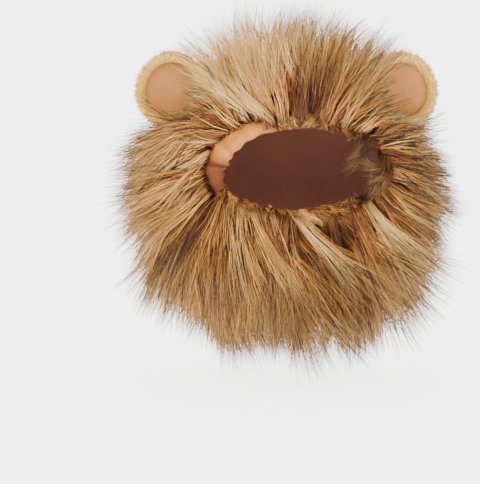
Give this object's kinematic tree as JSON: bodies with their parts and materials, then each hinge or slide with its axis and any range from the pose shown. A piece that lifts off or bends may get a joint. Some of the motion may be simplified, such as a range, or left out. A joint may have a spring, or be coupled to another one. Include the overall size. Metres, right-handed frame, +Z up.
{
  "type": "pet lion mane wig",
  "caption": "Hooded wig of long shaggy fur with round plush ears and an oval face opening, worn round the head of a cat or small dog.",
  "frame": {"origin": "crown seat, on the inside of the lining where the top of the head bears", "axes": "+Z up, -Y out of the face opening, +X to the viewer's right"},
  "size_m": [0.2592, 0.1841, 0.268],
  "materials": {
    "lining_cloth": "smooth woven lining",
    "fur": "long shaggy pile",
    "tan_plush": "short plush",
    "yellow_plush": "short plush",
    "ear_felt": "short brushed pile"
  },
  "bodies": {
    "root": {"lining": "lining_cloth", "mane_fur": "fur", "face_band": "tan_plush", "neck_band": "tan_plush", "ear_left_shell": "yellow_plush", "ear_right_shell": "yellow_plush", "ear_left_inner": "ear_felt", "ear_right_inner": "ear_felt"}
  },
  "joints": []
}
